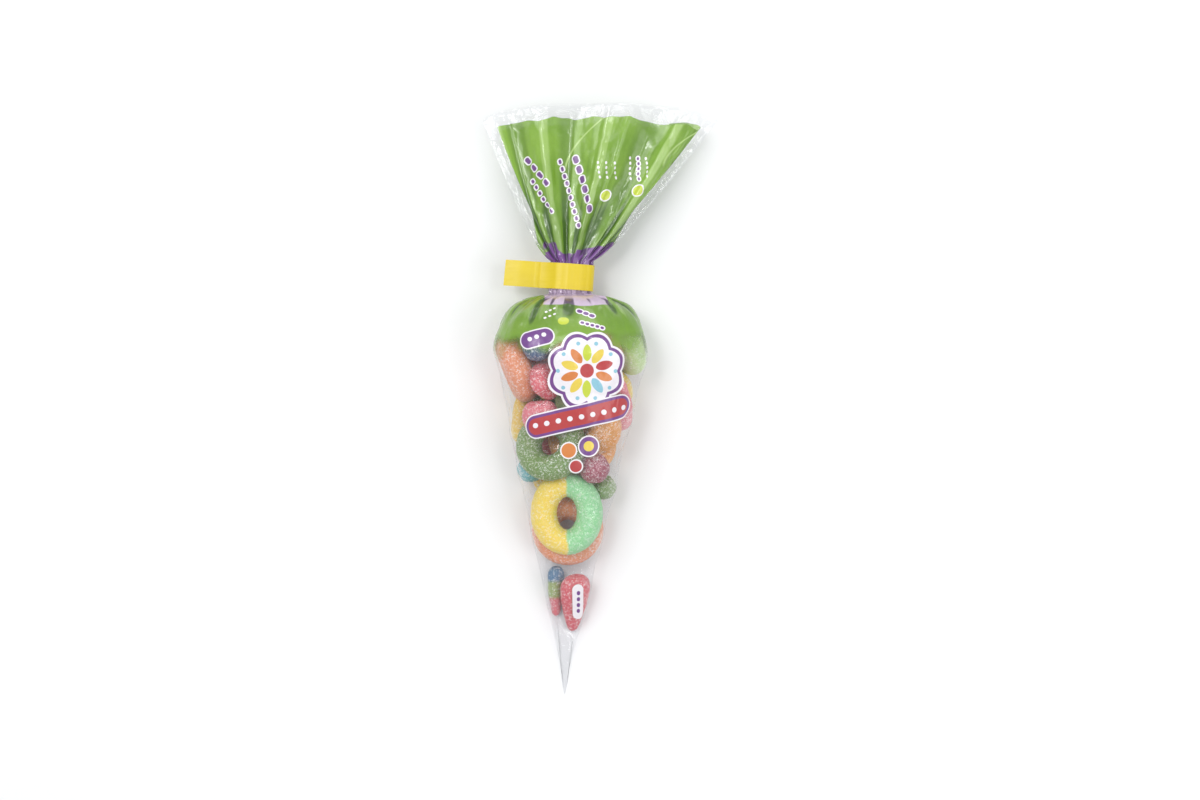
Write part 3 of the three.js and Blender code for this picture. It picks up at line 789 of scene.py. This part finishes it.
# Marks on the print, each seen from the front: its start, its end, its half width, the number of dashes and
# the share of each that is inked, its colour and its border's colour.
MARKS = (
    # sprinkles on the flared top
    ((-23.5, 100), (-11, 84), 1.15, 4, 0.3, PURPLE, WHITE),
    ((-20, 88), (-9, 71), 0.7, 6, 0.25, PURPLE, WHITE),
    ((2, 101), (9.5, 71), 1.3, 6, 0.28, PURPLE, WHITE),
    ((-5.5, 99), (4.5, 63), 0.75, 10, 0.25, PURPLE, WHITE),
    ((13.5, 97), (14.5, 87), 0.55, 4, 0.2, WHITE, None),
    ((17.5, 97), (18.5, 87), 0.55, 4, 0.2, WHITE, None),
    ((21.5, 97), (22.5, 87), 0.55, 4, 0.2, WHITE, None),
    ((17, 80.5), (17.1, 80.4), 2.6, 1, 1.0, LIME, WHITE),
    ((29.5, 100), (30.5, 88), 0.55, 5, 0.2, WHITE, None),
    ((33.5, 100), (34.5, 88), 0.55, 5, 0.2, PURPLE, WHITE),
    ((37.5, 100), (38.5, 88), 0.55, 5, 0.2, WHITE, None),
    ((33.5, 83), (33.6, 82.9), 2.8, 1, 1.0, LIME, WHITE),
    # sprinkles on the shoulder
    ((-13, 21), (-7, 23.5), 0.5, 3, 0.2, WHITE, None),
    ((-14, 17.5), (-7, 20.5), 0.5, 3, 0.2, WHITE, None),
    ((-3.5, 17), (-3.4, 16.9), 2.2, 1, 1.0, LIME, None),
    ((3, 22), (12, 18.5), 1.1, 3, 0.2, PURPLE, WHITE),
    ((5, 16.5), (17, 13), 0.7, 5, 0.2, PURPLE, WHITE),
    # the pill on the left
    ((-21, 7), (-12, 10), 3.9, 1, 1.0, PURPLE, WHITE),
    ((-21.5, 6.8), (-11.5, 10.2), 1.1, 3, 0.05, WHITE, None),
    # the tag near the tip
    ((3.6, -118), (3.6, -129), 3.0, 1, 1.0, WHITE, None),
    ((3.6, -117), (3.6, -130), 0.9, 4, 0.15, PURPLE, None),
    # the banner across the rosette's lower side, and the discs under it
    ((-17, -35), (25, -26), 5.6, 1, 1.0, PURPLE, WHITE),
    ((-17, -35), (25, -26), 4.2, 1, 1.0, RED, None),
    ((-20, -35.6), (28, -25.4), 1.3, 9, 0.02, WHITE, None),
    ((-1, -46), (-0.9, -46.1), 3.6, 1, 1.0, ORANGE, WHITE),
    ((9, -45), (9.1, -45.1), 4.8, 1, 1.0, PURPLE, WHITE),
    ((9, -45), (9.1, -45.1), 2.6, 1, 1.0, SUN, None),
    ((2.5, -54.5), (2.6, -54.6), 3.0, 1, 1.0, RED, WHITE),
)


# Below, sheet is a point's place on the unrolled sheet in millimetres, and flat is its place in metres.


def badge(t, sheet, on_sheet, colour, ink):
    """A scalloped rosette of bright petals."""
    centre = on_sheet(8, -8)
    flower = use(t, rosette_group(), {"Sheet": sheet, "Middle": (centre[0], centre[1], 0), "Radius": 18.0})
    for mask, fill in ((flower["Border"], WHITE), (flower["Outline"], PURPLE), (flower["Field"], WHITE)):
        colour = blend(t, mask, colour, fill)
    hues = put(t, "ShaderNodeValToRGB", {0: maths(t, "DIVIDE", plus(t, flower["Sector"], 5), 10)})
    hues.color_ramp.interpolation = "CONSTANT"
    ramp = hues.color_ramp.elements
    ramp[0].color = ORANGE
    ramp[1].position = 0.05
    ramp[1].color = SUN
    for i, hue in enumerate((LIME, SKY, ORANGE, RED, SUN, LIME, ORANGE, SUN)):
        ramp.new(0.15 + i / 10).color = hue
    colour = blend(t, flower["Petals"], colour, hues.outputs[0])
    colour = blend(t, flower["Beads"], colour, SKY)
    colour = blend(t, flower["Eye"], colour, RED)
    return colour, either(t, ink, flower["Border"])


def marked(t, sheet, on_sheet, colour, ink):
    """The marks, one over another."""
    stroke = stroke_group()
    for start, end, half_width, dashes, share, fill, border in MARKS:
        a, b = on_sheet(*start), on_sheet(*end)
        inputs = {"Start": (a[0], a[1], 0), "End": (b[0], b[1], 0.001), "Half width": half_width}
        out = use(t, stroke, {"Sheet": sheet, "Dashes": float(dashes), "Dash share": share, **inputs})
        if border:
            colour = blend(t, out["Outer"], colour, border)
            ink = either(t, ink, out["Outer"])
        colour = blend(t, out["Mask"], colour, fill)
        ink = either(t, ink, out["Mask"])
    return colour, ink


def clear_margins(t, flat):
    """The unprinted sides of the top, which widen upwards."""
    up = either(t, minus(t, flat[1], NECK_HIGH * MM), 0.0)
    opening = maths(t, "DIVIDE", up, FLARE_LENGTH * MM)
    middle = plus(t, times(t, opening, FLARE_SHIFT * MM), 0.0006)
    half = times(t, maths(t, "POWER", opening, FLARE_SPREAD), (FLARE_WIDTH - NECK_WIDTH) / 2 * MM)
    widest = plus(t, half, (NECK_WIDTH / 2 + 1) * MM)
    inside = minus(t, widest, times(t, step(t, opening, 0.0, 0.4), 0.0075))
    off = absolute(t, minus(t, flat[0], middle))
    return times(t, step(t, flat[1], 0.054, 0.058), step(t, minus(t, off, inside), 0.0, 0.0005))


def neck_bands(t, along, ragged, wander, flat, along_sheet):
    """A pale band across the middle below the tape, and a purple band from there to above it."""
    lilac = between(t, along, along_sheet(25), along_sheet(25.5), along_sheet(34), along_sheet(34.6))
    off_middle = absolute(t, minus(t, flat[0], 0.002))
    slant = times(t, minus(t, flat[1], 0.03), -0.5)
    ends = plus(t, minus(t, off_middle, slant), times(t, wander, 0.009))
    above = step(t, along, along_sheet(34), along_sheet(34.6))
    purple = times(t, above, step(t, ragged, along_sheet(54.5), along_sheet(53.5)))
    return times(t, lilac, step(t, ends, 0.0148, 0.0142)), purple


def highlit_edge(t, flat, low, high, left, right):
    """A painted highlight along a fold's edge across the top: from low to high and from left to right."""
    rise = maths(t, "DIVIDE", minus(t, flat[1], low * MM), (high - low) * MM, clamp=True)
    bent = times(t, maths(t, "POWER", rise, 1.8), (right - left) * MM)
    away = absolute(t, minus(t, flat[0], plus(t, bent, left * MM)))
    return times(t, step(t, away, 0.0008, 0.0002), between(t, rise, 0.0, 0.15, 0.97, 1.0))


def fold_shading(t, colour, green, flat):
    """The print, with painted shade in its folds and near the tape, a painted highlight along its crests and
    painted highlights along two fold edges across the top.
    """
    hollow = put(t, "ShaderNodeAttribute", attribute_name="hollow").outputs["Fac"]
    below_tape = between(t, flat[1], 0.002, 0.026, 0.031, 0.034)
    by_tape = between(t, flat[1], 0.0275, 0.0295, 0.046, 0.048)
    above_tape = between(t, flat[1], 0.047, 0.05, 0.06, 0.088)
    # Painted shade: the print is darkened where the film lies in a fold's valley, less of it towards the
    # top.
    deep = either(t, step(t, hollow, 0.25, 0.95), times(t, step(t, hollow, 0.05, 0.6), above_tape))
    shade = times(t, times(t, deep, step(t, flat[1], 0.0, 0.02)), minus(t, 1, by_tape))
    fading = plus(t, times(t, step(t, flat[1], 0.105, 0.065), 0.6), 0.4)
    shade = times(t, shade, fading)
    colour = blend(t, times(t, shade, 0.88), colour, blend(t, green, SHADED_PURPLE, SHADED_LEAF))
    # Painted highlight: the print is paled along the folds' crests.
    crest = times(t, step(t, hollow, -0.5, -1.0), green)
    colour = blend(t, times(t, crest, 0.35), colour, HIGHLIT_LEAF)
    # Painted shade: the green is darkened below and above the tape.
    neck_shade = times(t, either(t, below_tape, above_tape), green)
    colour = blend(t, times(t, neck_shade, 0.32), colour, SHADED_LEAF)
    # Painted highlights along two fold edges across the top.
    edge_highlights = either(t, highlit_edge(t, flat, 92, 119, -3, 17), highlit_edge(t, flat, 94, 114, 46, 66))
    return blend(t, times(t, edge_highlights, 0.7), colour, HIGHLIT_LEAF)


def printed_fields(t, sheet, flat, along_sheet):
    """The print's fields of colour, with painted shade and highlights over them, and where there is ink:
    over the shoulder and most of the top.
    """
    along = put(t, "ShaderNodeSeparateXYZ", {0: sheet}).outputs[1]
    ragged = plus(t, along, times(t, minus(t, noisy(t, sheet, 0.05), 0.5), 30))
    wander = minus(t, noisy(t, sheet, 0.035), 0.5)
    from_middle = absolute(t, minus(t, flat[0], FLARE_SHIFT * MM))
    corner = maths(t, "POWER", maths(t, "DIVIDE", from_middle, FLARE_WIDTH / 2 * MM), 3.0)
    edge_line = plus(t, plus(t, flat[1], times(t, wander, 0.018)), times(t, corner, 0.004))
    shoulder = step(t, ragged, along_sheet(-1), along_sheet(12))
    ink = times(t, shoulder, step(t, edge_line, 0.1182, 0.1178))
    ink = times(t, ink, minus(t, 1, clear_margins(t, flat)))

    colour = blend(t, step(t, noisy(t, sheet, 0.04, 3.0), 0.3, 0.7), LEAF, PALE_LEAF)
    lilac, purple = neck_bands(t, along, ragged, wander, flat, along_sheet)
    colour = blend(t, lilac, colour, LILAC)
    colour = blend(t, purple, colour, PURPLE)
    green = minus(t, 1, either(t, lilac, purple))
    return fold_shading(t, colour, green, flat), ink


def film_material(on_sheet, along_sheet):
    """Clear glossy film, printed in green with a badge and with purple and white marks."""
    material, t = shader("printed_film")
    uv = put(t, "ShaderNodeUVMap").outputs[0]
    sheet = vector_maths(t, "MULTIPLY", uv, (SHEET, SHEET, 0))[0]
    sheet = vector_maths(t, "ADD", sheet, (-SHEET / 2, 0, 0))[0]
    place = put(t, "ShaderNodeTexCoord").outputs["Object"]
    flat = put(t, "ShaderNodeSeparateXYZ", {0: place}).outputs
    colour, ink = printed_fields(t, sheet, flat, along_sheet)
    colour, ink = badge(t, sheet, on_sheet, colour, ink)
    colour, ink = marked(t, sheet, on_sheet, colour, ink)

    # Ink lets a little through, and the film over it stays glossy.
    cover = times(t, ink, plus(t, 0.86, times(t, noisy(t, sheet, 0.9, 3.0), 0.12)))
    rippled = bumped(t, noisy(t, place, 150.0, 3.0, 0.8), 0.45, 0.0009)
    coat = {"Coat Weight": 0.6, "Coat Roughness": 0.09}
    values = {"Base Color": colour, "Roughness": 0.34, "Normal": rippled, **coat}
    printed = put(t, "ShaderNodeBsdfPrincipled", values).outputs[0]

    # Clear film is hazy in patches, and its crinkles catch the light.
    clear = put(t, "ShaderNodeBsdfTransparent", {"Color": (0.985, 0.986, 0.992, 1)}).outputs[0]
    milky = put(t, "ShaderNodeBsdfDiffuse", {"Color": (0.86, 0.86, 0.9, 1), "Normal": rippled}).outputs[0]
    haze = plus(t, 0.01, times(t, step(t, noisy(t, place, 60.0, 3.0), 0.45, 0.75), 0.05))
    crinkled = bumped(t, noisy(t, place, 110.0, 3.0, 1.0), 0.8, 0.002)
    shine = {"Color": (1, 1, 1, 1), "Roughness": 0.08, "Normal": crinkled}
    sheen = put(t, "ShaderNodeBsdfGlossy", shine).outputs[0]
    glance = put(t, "ShaderNodeFresnel", {"IOR": 1.6, "Normal": rippled}).outputs[0]
    glassy = mixed(t, glance, mixed(t, haze, clear, milky), sheen)

    # The wall has two faces, and only the one that is turned to the eye shows.
    behind = put(t, "ShaderNodeBsdfTransparent").outputs[0]
    side = put(t, "ShaderNodeNewGeometry").outputs["Backfacing"]
    put(t, "ShaderNodeOutputMaterial", {"Surface": mixed(t, side, mixed(t, cover, glassy, printed), behind)})
    return material


def tape_material():
    """Yellow tape with fine streaks along it."""
    material, t = shader("yellow_tape")
    place = put(t, "ShaderNodeTexCoord").outputs["Object"]
    cloudy = noisy(t, place, 90.0, 3.0)
    streaks = put(t, "ShaderNodeMapping", {"Vector": place, "Scale": (60, 900, 60)}).outputs[0]
    fine = noisy(t, streaks, 1.0)
    colour = blend(t, cloudy, srgb(208, 182, 18), srgb(222, 198, 34))
    colour = blend(t, times(t, fine, 0.25), colour, srgb(205, 180, 20))
    bump = bumped(t, plus(t, fine, times(t, cloudy, 2)), 0.3, 0.0003)
    rough = plus(t, 0.3, times(t, cloudy, 0.15))
    coat = put(t, "ShaderNodeBsdfPrincipled", {"Base Color": colour, "Roughness": rough, "Normal": bump})
    put(t, "ShaderNodeOutputMaterial", {"Surface": coat.outputs[0]})
    return material


def sugar_group():
    """Sugar on a sweet: its grains' colour over the gum, their roughness and their height."""
    group, given, result = new_group(
        "sugar coat",
        [
            ("Place", "NodeSocketVector", None),
            ("Gum", "NodeSocketColor", (1, 0, 0, 1)),
            ("Coat", "NodeSocketFloat", 0.4),
        ],
        [("Color", "NodeSocketColor"), ("Roughness", "NodeSocketFloat"), ("Height", "NodeSocketFloat")],
    )
    t = group
    cells = put(t, "ShaderNodeTexVoronoi", {"Vector": given["Place"], "Scale": 1500.0})
    random = put(t, "ShaderNodeSeparateColor", {0: cells.outputs["Color"]}).outputs
    patchy = noisy(t, given["Place"], 160.0, 3.0)
    small = noisy(t, given["Place"], 2600.0, 1.0)
    # Some grains are whiter than the rest, and the coat is thicker in patches.
    amount = times(t, plus(t, patchy, 0.35), given["Coat"])
    whiter = times(t, maths(t, "POWER", random[0], 4.0), 3.6)
    dusted = times(t, amount, plus(t, whiter, 0.35), clamp=True)
    # Painted shade: the gum is darker and deeper in colour where the coat's fine relief is low.
    shade = {"Saturation": 1.25, "Value": 0.8, "Color": given["Gum"]}
    deep = put(t, "ShaderNodeHueSaturation", shade).outputs[0]
    hollow = times(t, minus(t, 0.62, small, clamp=True), 2.0, clamp=True)
    gum = blend(t, hollow, given["Gum"], deep)
    t.links.new(blend(t, dusted, gum, (0.93, 0.92, 0.9, 1)), result["Color"])
    t.links.new(plus(t, 0.35, times(t, random[1], 0.4)), result["Roughness"])
    grains = minus(t, 1, cells.outputs["Distance"])
    t.links.new(plus(t, grains, times(t, small, 0.6)), result["Height"])
    return group


def gummy_material(name, sugar, colour_of, coat=0.18):
    """A sugared gummy. colour_of puts the gum's colour into the node tree."""
    material, t = shader(name)
    place = put(t, "ShaderNodeTexCoord").outputs["Object"]
    out = use(t, sugar, {"Place": place, "Gum": colour_of(t, place), "Coat": coat})
    values = {"Base Color": out["Color"], "Roughness": out["Roughness"]}
    values["Normal"] = bumped(t, out["Height"], 0.7, 0.00025)
    values["Subsurface Weight"] = 0.12
    values["Subsurface Scale"] = 0.002
    body = put(t, "ShaderNodeBsdfPrincipled", values)
    put(t, "ShaderNodeOutputMaterial", {"Surface": body.outputs[0]})
    return material


def plain_gum(colour):
    """One colour all over a sweet."""
    return lambda t, place: colour


def halves(node, left, right):
    """Two colours side by side, with an uneven join down the middle of a sweet."""
    low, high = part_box(node)
    middle = (low[0] + high[0]) / 2

    def colour_of(t, place):
        split = put(t, "ShaderNodeSeparateXYZ", {0: place}).outputs
        wander = times(t, minus(t, noisy(t, place, 90.0), 0.5), 0.004)
        offset = plus(t, minus(t, split[0], middle), wander)
        share = plus(t, maths(t, "DIVIDE", offset, 0.0012), 0.5, clamp=True)
        return blend(t, share, left, right)

    return colour_of


def thirds(node, low_colour, middle_colour, high_colour):
    """Three colours one after the other along a sweet."""
    low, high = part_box(node)

    def colour_of(t, place):
        split = put(t, "ShaderNodeSeparateXYZ", {0: place}).outputs
        share = maths(t, "DIVIDE", minus(t, split[1], low[1]), high[1] - low[1])
        first = plus(t, times(t, minus(t, share, 0.36), 14), 0.5, clamp=True)
        second = plus(t, times(t, minus(t, share, 0.7), 14), 0.5, clamp=True)
        return blend(t, second, blend(t, first, low_colour, middle_colour), high_colour)

    return colour_of


def floor_material():
    """A pale floor, a little uneven in its tone."""
    material, t = shader("pale_floor")
    place = put(t, "ShaderNodeTexCoord").outputs["Object"]
    colour = blend(t, noisy(t, place, 3.0), (0.86, 0.86, 0.86, 1), (0.88, 0.88, 0.88, 1))
    coat = put(t, "ShaderNodeBsdfPrincipled", {"Base Color": colour, "Roughness": 0.7})
    put(t, "ShaderNodeOutputMaterial", {"Surface": coat.outputs[0]})
    return material


# The picture


def area_light(name, place, target, size, power):
    """A round lamp that looks from its place at its target."""
    data = bpy.data.lights.new(name, "AREA")
    data.shape = "DISK"
    data.size = size
    data.energy = power
    lamp = bpy.data.objects.new(name, data)
    lamp.location = place
    lamp.rotation_euler = (Vector(target) - Vector(place)).to_track_quat("-Z", "Y").to_euler()
    bpy.context.scene.collection.objects.link(lamp)


def studio():
    """The light, the camera and the floor."""
    scene = bpy.context.scene
    scene.view_settings.view_transform = "Standard"
    world = bpy.data.worlds.new("studio")
    world.use_nodes = True
    back = world.node_tree.nodes["Background"]
    back.inputs[0].default_value = (0.95, 0.97, 1, 1)
    back.inputs[1].default_value = 0.66
    scene.world = world
    area_light("key", (-0.55, 0.35, 1.1), (0, 0, 0), 0.8, 4.6)
    area_light("fill", (0.75, -0.3, 0.9), (0, 0, 0), 0.8, 3)
    area_light("rim", (0.1, 1.0, 0.5), (0, 0, 0), 0.6, 2.2)
    area_light("glint", (-0.3, 0.25, 1.25), (0, 0.05, 0), 0.26, 2.2)
    area_light("second glint", (0.35, 0.1, 1.2), (0, 0, 0), 0.2, 1.1)

    # Straight above, 600 mm of the table across the picture, as in the photograph.
    data = bpy.data.cameras.new("camera")
    data.sensor_width = 36
    data.lens = 85
    camera = bpy.data.objects.new("camera", data)
    camera.location = (0.0145, -0.022, 1.442)
    scene.collection.objects.link(camera)
    scene.camera = camera

    deselect()
    bpy.ops.mesh.primitive_grid_add(x_subdivisions=8, y_subdivisions=8, size=6)
    floor = bpy.context.object
    floor.name = "floor"
    floor.data.materials.append(floor_material())


# The work

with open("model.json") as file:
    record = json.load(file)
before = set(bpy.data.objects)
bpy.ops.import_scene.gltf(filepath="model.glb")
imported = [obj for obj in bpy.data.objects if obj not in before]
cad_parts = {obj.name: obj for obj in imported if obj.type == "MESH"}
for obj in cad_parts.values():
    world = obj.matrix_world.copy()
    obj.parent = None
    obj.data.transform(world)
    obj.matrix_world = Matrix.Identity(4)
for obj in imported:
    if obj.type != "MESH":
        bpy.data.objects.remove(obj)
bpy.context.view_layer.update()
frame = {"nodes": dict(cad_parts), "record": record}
nodes = frame["nodes"]
sweet_nodes = [o for name, o in nodes.items() if name not in ("cone_bag", "closing_tape")]

studio()

sugar = sugar_group()
GUM = {
    "gummy_red": srgb(214, 74, 88),
    "gummy_pink": srgb(220, 112, 124),
    "gummy_peach": srgb(228, 138, 88),
    "gummy_orange": srgb(226, 150, 50),
    "gummy_yellow": srgb(232, 196, 60),
    "gummy_green": srgb(98, 134, 38),
    "gummy_pale_green": srgb(190, 216, 140),
    "gummy_teal": srgb(70, 160, 168),
    "gummy_blue": srgb(44, 78, 120),
    "gummy_raspberry": srgb(150, 48, 74),
    "gummy_brown": srgb(176, 110, 74),
}
gummies = {slot: gummy_material(slot, sugar, plain_gum(colour)) for slot, colour in GUM.items()}
two_colours = halves("ring_two_colour", srgb(244, 212, 62), srgb(146, 212, 150))
gummies["gummy_two_colour"] = gummy_material("gummy_two_colour", sugar, two_colours, 0.15)
three_colours = thirds("bottle_low", srgb(216, 110, 120), srgb(140, 160, 80), srgb(56, 110, 150))
gummies["gummy_three_colour"] = gummy_material("gummy_three_colour", sugar, three_colours)
# Rounding makes each kind of sweet smaller, and this swells it back.
SWELL = {"ring": 0.62, "berry": 0.5, "bottle": 0.45, "strawberry": 0.5, "heart": 0.5, "slice": 0.45}
slot_of = {part["node"]: part["material_slot"] for part in frame["record"]["subparts"]}
sweets = []
for node in sweet_nodes:
    kind = node.name.split("_")[0]
    sweet = moulded_sweet(node, SWELL[kind], 0.5 if kind == "berry" else 0.0)
    sweet.data.materials.append(gummies[slot_of[node.name]])
    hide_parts(node.name)
    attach(sweet, "root")
    sweets.append(sweet)

film, on_sheet, along_sheet = rolled_film(sweets)
film.data.materials.append(film_material(on_sheet, along_sheet))
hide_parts("cone_bag")
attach(film, "root")

tape = wound_tape()
tape.data.materials.append(tape_material())
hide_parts("closing_tape")
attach(tape, "root")

deselect()
